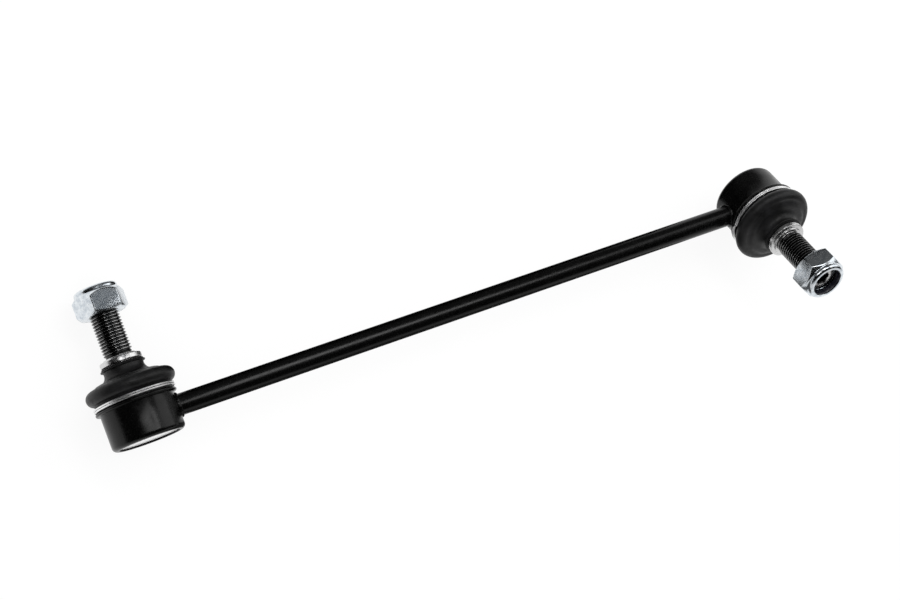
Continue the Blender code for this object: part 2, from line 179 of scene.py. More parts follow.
# Rod and weld
ROD_RADIUS = 4.4
ROD_RING_SPACING = 4.0
WELD_RADIUS = 0.75
WELD_SINK = 0.25
WELD_RIPPLE = 0.09
WELD_RIPPLE_SCALE = 9.0
WELD_LUMP_SHARE = 0.22
WELD_LUMP_SCALE = 2.2
WELD_SEEDS = {"left": 3.0, "right": 11.0}
WELD_SEED_STEP = 5.0
WELD_OUTSET = 0.25
WELD_LIFT = 0.15
WELD_STRETCH = 1.25
WELD_STEPS = 120
WELD_SEGMENTS = 10

SEGMENTS = 144
SMALL_SEGMENTS = 96
THREAD_SEGMENTS = 72
SIDES = ("left", "right")

# Camera and image
IMAGE_WIDTH = 900
IMAGE_HEIGHT = 600
FOCAL_PIXELS = 2025.0
SENSOR_WIDTH = 36.0
CAMERA_RIGHT = Vector((0.88105, -0.29545, 0.36941))
CAMERA_UP = Vector((0.30183, 0.95244, 0.04188))
LEFT_JOINT_PIXEL = (141.73, 417.67)
LEFT_JOINT_DEPTH = 0.79092
CLIP_START = 0.01

# Floor and surroundings
FLOOR_SIZE = 6.0
FLOOR_WHITE = 0.9
FLOOR_SHADOW_SHARE = 0.12
WORLD_DIFFUSE = 1.0
WHITE = (1.0, 1.0, 1.0)

# Softboxes: position, target, width, length
SET_MIDDLE = (0.0, 0.0, 0.02)
BACK_BOX = ((0.2, 0.48, 1.0), SET_MIDDLE, 0.8, 0.26)
BACK_BOX_ALONG = (0.65, -0.76, 0.0)
RIGHT_BOX = ((1.0, 0.25, 0.6), SET_MIDDLE, 0.9, 1.0)
KEY_RADIANCE = 5.0
SIDE_RADIANCE = 1.5

# Cards: position, target, width, length
CARDS = {
    "top_card": ((0.0, 0.0, 1.7), SET_MIDDLE, 5.0, 5.0),
    "left_card": ((-1.8, 0.0, 0.95), (0.0, 0.0, 0.95), 5.0, 1.5),
    "back_card": ((0.0, 1.9, 0.85), (0.0, 0.0, 0.85), 5.0, 1.7),
    "front_card": ((0.0, -1.9, 0.45), (0.0, 0.0, 0.45), 5.0, 0.9),
    "front_top_card": ((0.0, -1.9, 1.3), (0.0, 0.0, 1.3), 5.0, 0.8),
    "right_card": ((2.2, 0.0, 0.85), (0.0, 0.0, 0.85), 5.0, 1.7),
    "mat_back": ((0.0, 0.356, 0.0004), (0.0, 0.356, 1.0), 0.24, 0.7),
    "mat_front": ((0.0, -0.364, 0.0004), (0.0, -0.364, 1.0), 0.24, 0.7),
    "nut_card": ((-0.1136, 0.086, 0.1392), (-0.1448, 0.0429, 0.0209), 0.09, 0.1),
    "band_card": ((-0.116, 0.095, 0.365), (-0.145, 0.0, 0.035), 0.26, 0.1),
    "behind_card": ((0.0, 1.1, 0.0003), (0.0, 1.1, 1.0), 5.0, 1.8),
}
CARD_GLOWS = {"back_card": 0.09, "front_card": 0.7, "mat_front": 0.1, "nut_card": 0.07, "band_card": 3.5}
CARD_TINTS = {"nut_card": (0.7, 0.85, 1.0)}


def arc(centre_radius, centre_height, radius, start_deg, end_deg, count):
    """Points of an arc in the profile plane, both ends included."""
    angles = [math.radians(start_deg + (end_deg - start_deg) * i / count) for i in range(count + 1)]
    return [(centre_radius + radius * math.cos(a), centre_height + radius * math.sin(a)) for a in angles]


def even_angles(count):
    """Angles around a full turn."""
    return [2 * math.pi * i / count for i in range(count)]


def point_at(angle, radius, height):
    """Point in metres at an angle, from a radius and a height in millimetres."""
    return (radius * math.cos(angle) * MM, radius * math.sin(angle) * MM, height * MM)


def skin(shape, rows, closed=False, turned=False):
    """Join neighbouring rows of points with faces; turned runs round each face the other way."""
    pairs = list(zip(rows, rows[1:]))
    if closed:
        pairs.append((rows[-1], rows[0]))
    for first, second in pairs:
        count = len(first)
        for i in range(count):
            j = (i + 1) % count
            if turned:
                shape.faces.new((first[i], first[j], second[j], second[i]))
            else:
                shape.faces.new((first[i], second[i], second[j], first[j]))


def add_rings(shape, rings, angles, closed=False, close_first=False, close_last=False):
    """Add stacked rings to an open bmesh, from the top down the outer side.

    A ring is a (radius, height) pair, or a function of the angle that gives one.
    """
    rows = []
    for ring in rings:
        row = []
        for angle in angles:
            radius, height = ring(angle) if callable(ring) else ring
            row.append(shape.verts.new(point_at(angle, radius, height)))
        rows.append(row)
    skin(shape, rows, closed)
    if close_first:
        shape.faces.new(rows[0])
    if close_last:
        shape.faces.new(list(reversed(rows[-1])))


def ring_mesh(name, rings, angles, closed=False, close_first=False, close_last=False):
    """A mesh from stacked rings alone."""
    shape = bmesh.new()
    add_rings(shape, rings, angles, closed, close_first, close_last)
    return finish_mesh(name, shape)


def finish_mesh(name, shape):
    """Turn a bmesh into a smooth mesh with sharp edges kept."""
    bmesh.ops.remove_doubles(shape, verts=shape.verts, dist=MERGE_DISTANCE)
    bmesh.ops.recalc_face_normals(shape, faces=shape.faces)
    mesh = bpy.data.meshes.new(name)
    shape.to_mesh(mesh)
    shape.free()
    mesh.shade_smooth()
    mesh.set_sharp_from_angle(angle=math.radians(SHARP_ANGLE_DEG))
    return mesh


def add_object(name, data):
    """A new object in the scene."""
    obj = bpy.data.objects.new(name, data)
    bpy.context.scene.collection.objects.link(obj)
    return obj


def place(name, mesh, matrix, material, own_axes=False):
    """Make a piece from a mesh, in its place; with own axes its finish follows the piece's own frame."""
    piece = add_object(name, mesh)
    piece.data.materials.clear()
    piece.data.materials.append(material)
    if own_axes:
        piece.matrix_world = matrix
    else:
        mesh.transform(matrix)
    return piece


def joint(name):
    """The record's joint of that name."""
    return next(j for j in frame["joints"] if j["name"] == name)


def end_matrix(side):
    """Frame of one end: Z is the stud axis, X points along the rod to the other end, origin on the rod."""
    lean = joint(side + "_lean_direction")
    z_axis = Vector(lean["axis"]).normalized()
    x_axis = Vector((1.0 if side == "left" else -1.0, 0.0, 0.0))
    y_axis = z_axis.cross(x_axis)
    origin = Vector(lean["pos_m"]) - z_axis * BALL_HEIGHT * MM
    matrix = Matrix((x_axis, y_axis, z_axis)).transposed().to_4x4()
    matrix.translation = origin
    return matrix


def thread_grid(shape, bottom, top, count):
    """Helical thread as a sheared grid that closes on itself one pitch further up."""
    turns = math.ceil((top - bottom) / THREAD_PITCH) + 2
    rows = []
    for turn in range(-1, turns):
        for share, height in THREAD_PROFILE:
            row = []
            for j in range(count + 1):
                angle = 2 * math.pi * j / count
                level = bottom + (turn + share + j / count) * THREAD_PITCH
                clamped = min(max(level, bottom), top)
                rise = (clamped - bottom) / (THREAD_RUN_OUT_PITCHES * THREAD_PITCH)
                run_out = min(1.0, rise, (top - clamped) / TIP_CHAMFER)
                radius = THREAD_RADIUS - THREAD_DEPTH * (1 - height * max(0.0, run_out))
                row.append(shape.verts.new(point_at(angle, radius, clamped)))
            rows.append(row)
    for lower, upper in zip(rows, rows[1:]):
        for j in range(count):
            shape.faces.new((lower[j], lower[j + 1], upper[j + 1], upper[j]))


def hexagon_radius(angle, across_flats):
    """Distance from the centre of a hexagon to its outline, with a corner at angle zero."""
    local = (angle % (math.pi / 3)) - math.pi / 6
    return across_flats / 2 / math.cos(local)


def stud_mesh(side):
    """Ball, shank, collar, step, helical thread, chamfered tip and hexagon socket, in one closed surface."""
    angles = even_angles(THREAD_SEGMENTS)
    step_top = COLLAR_BOTTOM + COLLAR_THICKNESS + STEP_HEIGHT
    thread_bottom = step_top + THREAD_START
    thread_top = STUD_TIP - TIP_EDGE
    root = THREAD_RADIUS - THREAD_DEPTH
    shape = bmesh.new()
    socket_mouth = SOCKET_ACROSS_FLATS / math.sqrt(3.0) + SOCKET_CHAMFER

    def socket_ring(height):
        return lambda angle: (hexagon_radius(angle, SOCKET_ACROSS_FLATS), height)

    socket_floor = STUD_TIP - SOCKET_DEPTH
    socket = [(root, thread_top), (root - TIP_FACE_MARGIN, STUD_TIP), (socket_mouth, STUD_TIP)]
    socket += [socket_ring(STUD_TIP - SOCKET_CHAMFER), socket_ring(socket_floor)]
    socket += [(DRILL_POINT_RADIUS, socket_floor - DRILL_POINT_DEPTH)]
    add_rings(shape, socket, angles, close_last=True)
    thread_grid(shape, thread_bottom, thread_top, THREAD_SEGMENTS)
    collar_top = COLLAR_BOTTOM + COLLAR_THICKNESS
    collar_ease = COLLAR_RADIUS - COLLAR_EDGE
    below = [(root, thread_bottom), (root, step_top)]
    below += arc(STEP_RADIUS - STEP_EDGE, step_top - STEP_EDGE, STEP_EDGE, 90, 0, 4)
    below += [(STEP_RADIUS + STEP_FOOT_WIDTH, collar_top + STEP_FOOT_HEIGHT)]
    below += arc(collar_ease, collar_top - COLLAR_EDGE, COLLAR_EDGE, 90, 0, 6)
    below += arc(collar_ease, COLLAR_BOTTOM + COLLAR_EDGE, COLLAR_EDGE, 0, -90, 6)
    below += [(UPPER_SHANK_RADIUS, COLLAR_BOTTOM), (UPPER_SHANK_RADIUS, TAPER_BOTTOM + TAPER_LENGTH)]
    below += [(SHANK_RADIUS, TAPER_BOTTOM)]
    ball_top_deg = math.degrees(math.acos(SHANK_RADIUS / BALL_RADIUS))
    below += arc(0.0, BALL_HEIGHT, BALL_RADIUS, ball_top_deg, BALL_END_DEG, 40)
    add_rings(shape, below, angles, close_last=True)
    return finish_mesh(side + "_stud", shape)


def nut_angles():
    """Angles around the nut, denser at its six rounded corners."""
    found = []
    for corner in range(6):
        start = 60.0 * corner
        found += [start + step * NUT_CORNER_ROUND_DEG for step in NUT_CORNER_STEPS]
        found += [start + 60.0 * i / NUT_FACE_STEPS for i in range(1, NUT_FACE_STEPS)]
    return [math.radians(a) for a in sorted(found)]


def rounded_hexagon(angle):
    """Outline of the nut with its corners eased."""
    straight = hexagon_radius(angle, NUT_ACROSS_FLATS)
    off = (math.degrees(angle) + 30.0) % 60.0 - 30.0
    reach = max(0.0, 1.0 - abs(off) / NUT_CORNER_ROUND_DEG)
    return straight - NUT_CORNER_EASE * reach * reach


def nut_mesh(side):
    """Hexagon nut with chamfered ends, crimped crown and bore."""
    top_slope = math.tan(math.radians(NUT_TOP_CHAMFER_DEG))
    bottom_slope = math.tan(math.radians(NUT_BOTTOM_CHAMFER_DEG))
    soft = NUT_EDGE_SOFTENING
    soft_share = soft * NUT_SOFT_SHARE

    def chamfer_depth(angle, slope):
        return (rounded_hexagon(angle) - NUT_FACE_RADIUS) * slope

    def upper(inward, drop):
        return lambda a: (rounded_hexagon(a) - inward, NUT_HEX_TOP - chamfer_depth(a, top_slope) - drop)

    def lower(inward, rise):
        return lambda a: (rounded_hexagon(a) - inward, NUT_BOTTOM + chamfer_depth(a, bottom_slope) + rise)

    crown = (NUT_TOP - NUT_HEX_TOP) * CROWN_ROUND_SHARE
    pocket_bottom = INSERT_BOTTOM - INSERT_ROOM_BELOW
    pocket_top = INSERT_TOP + INSERT_ROOM_ABOVE
    rings = [(NUT_OPENING_RADIUS, NUT_TOP - NUT_OPENING_EDGE)]
    rings += [(NUT_OPENING_RADIUS + NUT_OPENING_EDGE, NUT_TOP)]
    rings += arc(NUT_CROWN_RADIUS - crown, NUT_TOP - crown, crown, 90, 0, 12)
    rings += [(NUT_CROWN_RADIUS + out, NUT_HEX_TOP + up) for out, up in CROWN_FOOT]
    rings += [(NUT_FACE_RADIUS, NUT_HEX_TOP)]
    rings += [upper(soft, -soft * top_slope), upper(NUT_SIDE_EASE, soft_share), upper(0.0, soft)]
    rings += [lower(0.0, soft), lower(NUT_SIDE_EASE, soft_share), lower(soft, -soft * bottom_slope)]
    rings += [(NUT_FACE_RADIUS, NUT_BOTTOM), (NUT_BORE_RADIUS + NUT_BORE_CHAMFER, NUT_BOTTOM)]
    rings += [(NUT_BORE_RADIUS, NUT_BOTTOM + NUT_BORE_CHAMFER), (NUT_BORE_RADIUS, pocket_bottom)]
    rings += [(NUT_POCKET_RADIUS, pocket_bottom), (NUT_POCKET_RADIUS, pocket_top)]
    rings += [(NUT_OPENING_RADIUS, pocket_top)]
    return ring_mesh(side + "_nut", rings, nut_angles(), closed=True)


def insert_mesh(side):
    """Nylon ring with eased inner edges."""
    top_width, top_drop = INSERT_TOP_EASE
    rings = [(NUT_BORE_RADIUS + top_width, INSERT_TOP), (INSERT_OUTER, INSERT_TOP)]
    rings += [(INSERT_OUTER, INSERT_BOTTOM), (NUT_BORE_RADIUS + INSERT_BOTTOM_EASE, INSERT_BOTTOM)]
    rings += [(NUT_BORE_RADIUS, INSERT_BOTTOM + INSERT_BOTTOM_EASE)]
    rings += [(NUT_BORE_RADIUS, INSERT_TOP - top_drop)]
    return ring_mesh(side + "_insert", rings, even_angles(SMALL_SEGMENTS), closed=True)


def housing_mesh(side):
    """Forged cup with flange, neck, conical mouth, seat bore, pocket and rolled lip."""
    edge = HOUSING_EDGE_RADIUS
    small = HOUSING_SMALL_EDGE
    flange_edge = FLANGE_THICKNESS / 2
    flange_bottom = FLANGE_TOP - FLANGE_THICKNESS
    lip_top = -HOUSING_DEPTH + LIP_THICKNESS
    rings = [(NECK_RADIUS - small, NECK_TOP), (NECK_RADIUS, NECK_TOP - small), (NECK_RADIUS, FLANGE_TOP)]
    rings += arc(FLANGE_RADIUS - flange_edge, FLANGE_TOP - flange_edge, flange_edge, 90, -90, 12)
    rings += [(HOUSING_RADIUS + out, flange_bottom - down) for out, down in FLANGE_ROOT]
    rings += [(HOUSING_RADIUS, -HOUSING_DEPTH + edge + HOUSING_WALL_STEP)]
    rings += arc(HOUSING_RADIUS - edge, -HOUSING_DEPTH + edge, edge, 0, -90, 14)
    rings += [(LIP_OPENING_RADIUS + small, -HOUSING_DEPTH), (LIP_OPENING_RADIUS, -HOUSING_DEPTH + small)]
    rings += [(LIP_OPENING_RADIUS, lip_top), (POCKET_RADIUS, lip_top)]
    rings += [(POCKET_RADIUS, CAP_TOP + CAP_PLAY), (SEAT_BORE_RADIUS, CAP_TOP + CAP_PLAY)]
    rings += [(SEAT_BORE_RADIUS, SHOULDER), (MOUTH_BOTTOM_RADIUS, SHOULDER), (MOUTH_TOP_RADIUS, NECK_TOP)]
    return ring_mesh(side + "_cup", rings, even_angles(SEGMENTS), closed=True)


def cap_mesh(side):
    """Closing plate with eased edges and a slightly raised middle."""
    raised = CAP_FACE - CAP_RAISE
    rings = [(CAP_RADIUS - CAP_EDGE, CAP_TOP), (CAP_RADIUS, CAP_TOP - CAP_EDGE)]
    rings += [(CAP_RADIUS, CAP_FACE + CAP_EDGE), (CAP_RADIUS - CAP_EDGE, CAP_FACE)]
    rings += [(CAP_RAISED_RADIUS, CAP_FACE), (CAP_RAISED_RADIUS - CAP_EDGE, raised)]
    rings += [(CAP_CENTRE_RADIUS, raised)]
    return ring_mesh(side + "_plate", rings, even_angles(SMALL_SEGMENTS), close_first=True, close_last=True)


def boot_mesh(side):
    """Rubber boot: lip, groove, flare, rounded rim with a parting edge, and sleeve, as a turned wall."""
    lip_bottom = BOOT_TOP - BOOT_LIP_THICKNESS
    flare_centre = BOOT_NECK_RADIUS + FLARE_RADIUS
    clamp_top = BOOT_BOTTOM + CLAMP_TURNS * CLAMP_SPACING
    rings = [(BOOT_NECK_INNER, BOOT_TOP), (BOOT_NECK_INNER + BOOT_MOUTH_WIDTH, BOOT_TOP)]
    rings += [(BOOT_LIP_RADIUS - inward, BOOT_TOP - down) for inward, down in BOOT_LIP_PROFILE]
    rings += [(BOOT_LIP_RADIUS - BOOT_LIP_EDGE, lip_bottom + BOOT_LIP_EDGE)]
    rings += [(BOOT_NECK_RADIUS + BOOT_GROOVE_EASE, lip_bottom)]
    rings += arc(flare_centre, FLARE_CENTRE_HEIGHT, FLARE_RADIUS, 180, FLARE_END_DEG, 20)
    rings += FLARE_FOOT
    for start_deg, end_deg, count in RIM_OUTER_ARCS:
        rings += arc(RIM_CENTRE_RADIUS, RIM_CENTRE_HEIGHT, RIM_ARC_RADIUS, start_deg, end_deg, count)
    rings += [(SLEEVE_OUTER, clamp_top + SLEEVE_CLEARANCE), (SLEEVE_OUTER, BOOT_BOTTOM)]
    rings += [(SLEEVE_INNER, BOOT_BOTTOM), (SLEEVE_INNER, NECK_TOP)]
    rings += arc(RIM_CENTRE_RADIUS, RIM_CENTRE_HEIGHT, RIM_ARC_RADIUS - BOOT_WALL, RIM_ARC_END_DEG, 90, 18)
    neck_wall = BOOT_NECK_RADIUS - BOOT_NECK_INNER
    inner_height = FLARE_CENTRE_HEIGHT - BOOT_WALL + neck_wall
    rings += arc(flare_centre, inner_height, FLARE_RADIUS + neck_wall, 270, 180, 14)
    return ring_mesh(side + "_boot", rings, even_angles(SEGMENTS), closed=True)


def clamp_mesh(side):
    """Two close turns of round wire, as a tube swept along the helix with closed ends."""
    shape = bmesh.new()
    rows = []
    for i in range(CLAMP_TURNS * CLAMP_STEPS_PER_TURN - 1):
        turn = i / CLAMP_STEPS_PER_TURN
        angle = 2 * math.pi * turn
        height = BOOT_BOTTOM + CLAMP_SPACING * turn
        row = []
        for tilt in even_angles(CLAMP_WIRE_SEGMENTS):
            radius = CLAMP_COIL_RADIUS + CLAMP_WIRE_RADIUS * math.cos(tilt)
            level = height + CLAMP_WIRE_RADIUS * math.sin(tilt)
            row.append(shape.verts.new(point_at(angle, radius, level)))
        rows.append(row)
    skin(shape, rows)
    shape.faces.new(list(reversed(rows[0])))
    shape.faces.new(rows[-1])
    return finish_mesh(side + "_wire", shape)


def rod_reach(across):
    """Distance from the stud axis at which the rod, sunk a little, meets the housing that far off centre."""
    return math.sqrt((HOUSING_RADIUS - WELD_SINK) ** 2 - across ** 2)


def rod_piece(ends, material):
    """The rod as a fine tube whose ends are shaped to the two housings."""
    left, right = ends["left"], ends["right"]
    length = (right.translation - left.translation).length / MM
    right_axis = right.to_3x3() @ Vector((0.0, 0.0, 1.0))
    shape = bmesh.new()
    rows = []
    steps = int(length / ROD_RING_SPACING)
    for i in range(steps + 1):
        row = []
        for angle in even_angles(SMALL_SEGMENTS):
            direction = (left.to_3x3() @ Vector((0.0, math.sin(angle), math.cos(angle)))).normalized()
            across_right = math.sqrt(max(0.0, 1.0 - direction.dot(right_axis) ** 2)) * ROD_RADIUS
            start = rod_reach(ROD_RADIUS * math.sin(angle))
            end = length - rod_reach(across_right)
            x = start + (end - start) * (i / steps)
            point = left.translation + Vector((x * MM, 0.0, 0.0)) + direction * ROD_RADIUS * MM
            row.append(shape.verts.new(point))
        rows.append(row)
    skin(shape, rows, turned=True)
    shape.faces.new(rows[0])
    shape.faces.new(list(reversed(rows[-1])))
    return place("rod_tube", finish_mesh("rod_tube", shape), Matrix.Identity(4), material)


def weld_mesh(side):
    """Weld flash around the rod's end, with the ripples and small lumps of the real one."""
    seed = WELD_SEEDS[side]
    shape = bmesh.new()
    rows = []
    for angle in even_angles(WELD_STEPS):
        cosine, sine = math.cos(angle), math.sin(angle)
        centre_x = math.sqrt(HOUSING_RADIUS ** 2 - (ROD_RADIUS * sine) ** 2) + WELD_OUTSET
        lump = noise.noise(Vector((cosine * WELD_LUMP_SCALE, sine * WELD_LUMP_SCALE, seed)))
        ripple_place = Vector((cosine * WELD_RIPPLE_SCALE, sine * WELD_RIPPLE_SCALE, seed + WELD_SEED_STEP))
        ripple = noise.noise(ripple_place)
        radius = WELD_RADIUS * (1.0 + WELD_LUMP_SHARE * lump) + WELD_RIPPLE * ripple
        row = []
        for tilt in even_angles(WELD_SEGMENTS):
            out = ROD_RADIUS + WELD_LIFT + radius * math.sin(tilt)
            x = centre_x + WELD_STRETCH * radius * math.cos(tilt)
            row.append(shape.verts.new((x * MM, out * sine * MM, out * cosine * MM)))
        rows.append(row)
    skin(shape, rows, closed=True, turned=True)
    return finish_mesh(side + "_weld", shape)


class Shader:
    """A Principled material with short helpers for its nodes."""

    def __init__(self, name, colour, roughness, metallic=0.0, specular=0.5):
        self.material = bpy.data.materials.new(name)
        self.material.use_nodes = True
        self.tree = self.material.node_tree
        self.principled = self.tree.nodes["Principled BSDF"]
        self.principled.inputs["Base Color"].default_value = (*colour, 1.0)
        self.principled.inputs["Roughness"].default_value = roughness
        self.principled.inputs["Metallic"].default_value = metallic
        self.principled.inputs["Specular IOR Level"].default_value = specular
        self.coordinates = self.tree.nodes.new("ShaderNodeTexCoord").outputs["Object"]

    def link(self, source, target):
        """Join two sockets."""
        self.tree.links.new(source, target)

    def noise(self, scale, detail=4.0, roughness=0.55, stretch=(1.0, 1.0, 1.0)):
        """Noise in object space, scale in features per metre, stretched along the axes."""
        mapping = self.tree.nodes.new("ShaderNodeMapping")
        mapping.inputs["Scale"].default_value = stretch
        self.link(self.coordinates, mapping.inputs["Vector"])
        texture = self.tree.nodes.new("ShaderNodeTexNoise")
        texture.inputs["Scale"].default_value = scale
        texture.inputs["Detail"].default_value = detail
        texture.inputs["Roughness"].default_value = roughness
        self.link(mapping.outputs["Vector"], texture.inputs["Vector"])
        return texture.outputs["Fac"]

    def ramp(self, source, stops):
        """Colour ramp from a list of (place, colour) stops."""
        node = self.tree.nodes.new("ShaderNodeValToRGB")
        elements = node.color_ramp.elements
        elements[0].position, elements[0].color = stops[0][0], (*stops[0][1], 1.0)
        elements[1].position, elements[1].color = stops[-1][0], (*stops[-1][1], 1.0)
        for place_on_ramp, colour in stops[1:-1]:
            elements.new(place_on_ramp).color = (*colour, 1.0)
        self.link(source, node.inputs["Fac"])
        return node.outputs["Color"]

    def spread(self, source, low, high):
        """Map a 0.3 to 0.7 noise to a range of values."""
        node = self.tree.nodes.new("ShaderNodeMapRange")
        node.inputs["From Min"].default_value = 0.3
        node.inputs["From Max"].default_value = 0.7
        node.inputs["To Min"].default_value = low
        node.inputs["To Max"].default_value = high
        self.link(source, node.inputs["Value"])
        return node.outputs["Result"]

    def set(self, socket, source):
        """Feed one of the shader's sockets."""
        self.link(source, self.principled.inputs[socket])

    def bump(self, source, strength, distance):
        """Bump from a height, distance in millimetres."""
        node = self.tree.nodes.new("ShaderNodeBump")
        node.inputs["Strength"].default_value = strength
        node.inputs["Distance"].default_value = distance * MM
        self.link(source, node.inputs["Height"])
        self.link(node.outputs["Normal"], self.principled.inputs["Normal"])


def grey(value):
    """A neutral colour."""
    return (value, value, value)


def black_coating():
    """Black dip coating over forged steel: glossy black, with faint orange peel and dust."""
    shader = Shader("black_coating", grey(0.001), 0.24, specular=0.26)
    mottling = shader.noise(420.0)
    shader.set("Roughness", shader.spread(mottling, 0.2, 0.3))
    speck = shader.noise(2600.0, detail=2.0)
    shader.set("Base Color", shader.ramp(speck, [(0.55, grey(0.0008)), (0.78, (0.007, 0.007, 0.0065))]))
    shader.bump(shader.noise(1500.0, detail=3.0), 0.15, 0.05)
    return shader.material


def boot_rubber():
    """Moulded black rubber with a dull bloom."""
    shader = Shader("boot_rubber", grey(0.006), 0.45, specular=0.26)
    bloom = shader.noise(160.0, detail=5.0)
    shader.set("Base Color", shader.ramp(bloom, [(0.35, grey(0.003)), (0.72, (0.011, 0.011, 0.012))]))
    shader.set("Roughness", shader.spread(shader.noise(700.0), 0.36, 0.52))
    shader.bump(shader.noise(2400.0, detail=3.0), 0.25, 0.05)
    return shader.material


def bright_zinc(name, low, high, specks, grain=0.35, roughness=(0.14, 0.3)):
    """Bright zinc plating over machined steel, with fine blotches and a grainy face."""
    shader = Shader(name, high, 0.2, metallic=1.0)
    blotch = shader.noise(520.0, detail=5.0)
    shader.set("Base Color", shader.ramp(blotch, [(0.35, low), (0.62, high)]))
    shader.set("Roughness", shader.spread(shader.noise(1300.0), *roughness))
    shader.bump(shader.noise(specks, detail=2.0), grain, 0.05)
    return shader.material


def larger(tree, first, second):
    """The larger of two values of a node tree."""
    node = tree.nodes.new("ShaderNodeMath")
    node.operation = "MAXIMUM"
    tree.links.new(first, node.inputs[0])
    tree.links.new(second, node.inputs[1])
    return node.outputs[0]


def stud_steel():
    """Stud steel with painted light on the thread: painted shade, darkest in the thread roots, and painted
    glints of grey on its crests; the collar and tip keep the plain bright colour.
    """
    shader = Shader("stud_steel", (0.6, 0.6, 0.6), 0.25, metallic=1.0)
    split = shader.tree.nodes.new("ShaderNodeSeparateXYZ")
    shader.link(shader.coordinates, split.inputs["Vector"])
    length = shader.tree.nodes.new("ShaderNodeVectorMath")
    length.operation = "LENGTH"
    flatten = shader.tree.nodes.new("ShaderNodeVectorMath")
    flatten.operation = "MULTIPLY"
    flatten.inputs[1].default_value = (1.0, 1.0, 0.0)
    shader.link(shader.coordinates, flatten.inputs[0])
    shader.link(flatten.outputs["Vector"], length.inputs[0])
    # painted light: the thread's colour set by distance from the axis, painted shade in its roots and
    # painted glints on its crests
    crest = shader.tree.nodes.new("ShaderNodeMapRange")
    crest.inputs["From Min"].default_value = (THREAD_RADIUS - ROOT_SHADE_DEPTH) * MM
    crest.inputs["From Max"].default_value = (THREAD_RADIUS - CREST_GLINT_DEPTH) * MM
    shader.link(length.outputs["Value"], crest.inputs["Value"])
    crest.inputs["To Max"].default_value = CREST_GLINT_SHARE
    step_top = COLLAR_BOTTOM + COLLAR_THICKNESS + STEP_HEIGHT
    found = crest.outputs["Result"]
    # the painted thread shade gives way to the plain colour on the collar below the step and on the tip's
    # edge
    fades = [[step_top + above for above in STEP_FADE], [STUD_TIP - below for below in TIP_FADE]]
    for dark, bright in fades:
        plain = shader.tree.nodes.new("ShaderNodeMapRange")
        plain.inputs["From Min"].default_value = dark * MM
        plain.inputs["From Max"].default_value = bright * MM
        shader.link(split.outputs["Z"], plain.inputs["Value"])
        found = larger(shader.tree, found, plain.outputs["Result"])
    # colours of the painted light: near black in the roots, grey on the crests, plain bright steel on the
    # collar and tip
    colour = shader.ramp(found, [(0.0, grey(0.04)), (0.4, grey(0.1)), (0.6, grey(0.5)), (1.0, grey(0.68))])
    shader.set("Base Color", colour)
    shader.set("Roughness", shader.spread(shader.noise(1800.0), 0.2, 0.38))
    shader.bump(shader.noise(2200.0, detail=2.0), 0.25, 0.04)
    return shader.material


def plain_plastic(name, colour, roughness):
    """Moulded plastic with a faint grain."""
    shader = Shader(name, colour, roughness)
    shader.set("Roughness", shader.spread(shader.noise(900.0), roughness * 0.8, roughness * 1.2))
    shader.bump(shader.noise(3000.0, detail=2.0), 0.15, 0.02)
    return shader.material


def dress_end(side, looks, ends):
    """All visible pieces of one end."""
    matrix = ends[side]
    body = {name: f"{side}_{name}_body" for name in ("seat", "lean", "stud", "insert", "nut")}
    turn = Matrix.Rotation(math.radians(NUT_TURNS_DEG[side]), 4, "Z")
    plan = [
        ("cup", housing_mesh(side), matrix, "black", "link_body", "housing", "black_coating"),
        ("plate", cap_mesh(side), matrix, "zinc", "link_body", "end_cap", "bright_zinc"),
        ("wire", clamp_mesh(side), matrix, "wire", "link_body", "boot_clamp", "bright_zinc"),
        ("weld", weld_mesh(side), matrix, "black", "link_body", "weld_bead", "black_coating"),
        ("stud", stud_mesh(side), matrix, "stud", body["stud"], "ball_stud", "stud_steel"),
        ("nut", nut_mesh(side), matrix @ turn, "nut", body["nut"], "lock_nut", "nut_zinc"),
        ("nylon_ring", insert_mesh(side), matrix, "nylon", body["insert"], "nut_insert", "insert_plastic"),
    ]
    for name, mesh, where, look, rider, node, slot in plan:
        piece = place(f"{side}_{name}", mesh, where, looks[look], own_axes=name == "stud")
        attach(piece, rider)
        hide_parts(f"{side}_{node}")
    boot = place(f"{side}_boot", boot_mesh(side), matrix, looks["rubber"])
    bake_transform(boot)
    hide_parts(f"{side}_dust_boot")


def recolour(node, material):
    """Give a CAD node that stays its finish."""
    frame["nodes"][node].data.materials.clear()
    frame["nodes"][node].data.materials.append(material)


def make_camera():
    """Camera at the photograph's angle, with the left joint at its pixel in the 900 by 600 image."""
    back = CAMERA_RIGHT.cross(CAMERA_UP).normalized()
    up = back.cross(CAMERA_RIGHT).normalized()
    right = up.cross(back)
    across = (LEFT_JOINT_PIXEL[0] - IMAGE_WIDTH / 2) / FOCAL_PIXELS * LEFT_JOINT_DEPTH
    down = (LEFT_JOINT_PIXEL[1] - IMAGE_HEIGHT / 2) / FOCAL_PIXELS * LEFT_JOINT_DEPTH
    joint_point = end_matrix("left").translation
    position = joint_point - right * across + up * down + back * LEFT_JOINT_DEPTH
    data = bpy.data.cameras.new("camera")
    data.sensor_width = SENSOR_WIDTH
    data.lens = FOCAL_PIXELS / IMAGE_WIDTH * SENSOR_WIDTH
    data.clip_start = CLIP_START
    camera = add_object("camera", data)
    matrix = Matrix((right, up, back)).transposed().to_4x4()
    matrix.translation = position
    camera.matrix_world = matrix
    bpy.context.scene.camera = camera


def seen_rays(tree):
    """1 for camera, glossy and transmission rays, 0 for the others."""
    path = tree.nodes.new("ShaderNodeLightPath")
    seen = larger(tree, path.outputs["Is Camera Ray"], path.outputs["Is Glossy Ray"])
    return larger(tree, seen, path.outputs["Is Transmission Ray"])


def rectangle(name, width, length):
    """A flat mesh of one face, centred on its origin."""
    mesh = bpy.data.meshes.new(name)
    x, y = width / 2, length / 2
    mesh.from_pydata([(-x, -y, 0), (x, -y, 0), (x, y, 0), (-x, y, 0)], [], [(0, 1, 2, 3)])
    return mesh


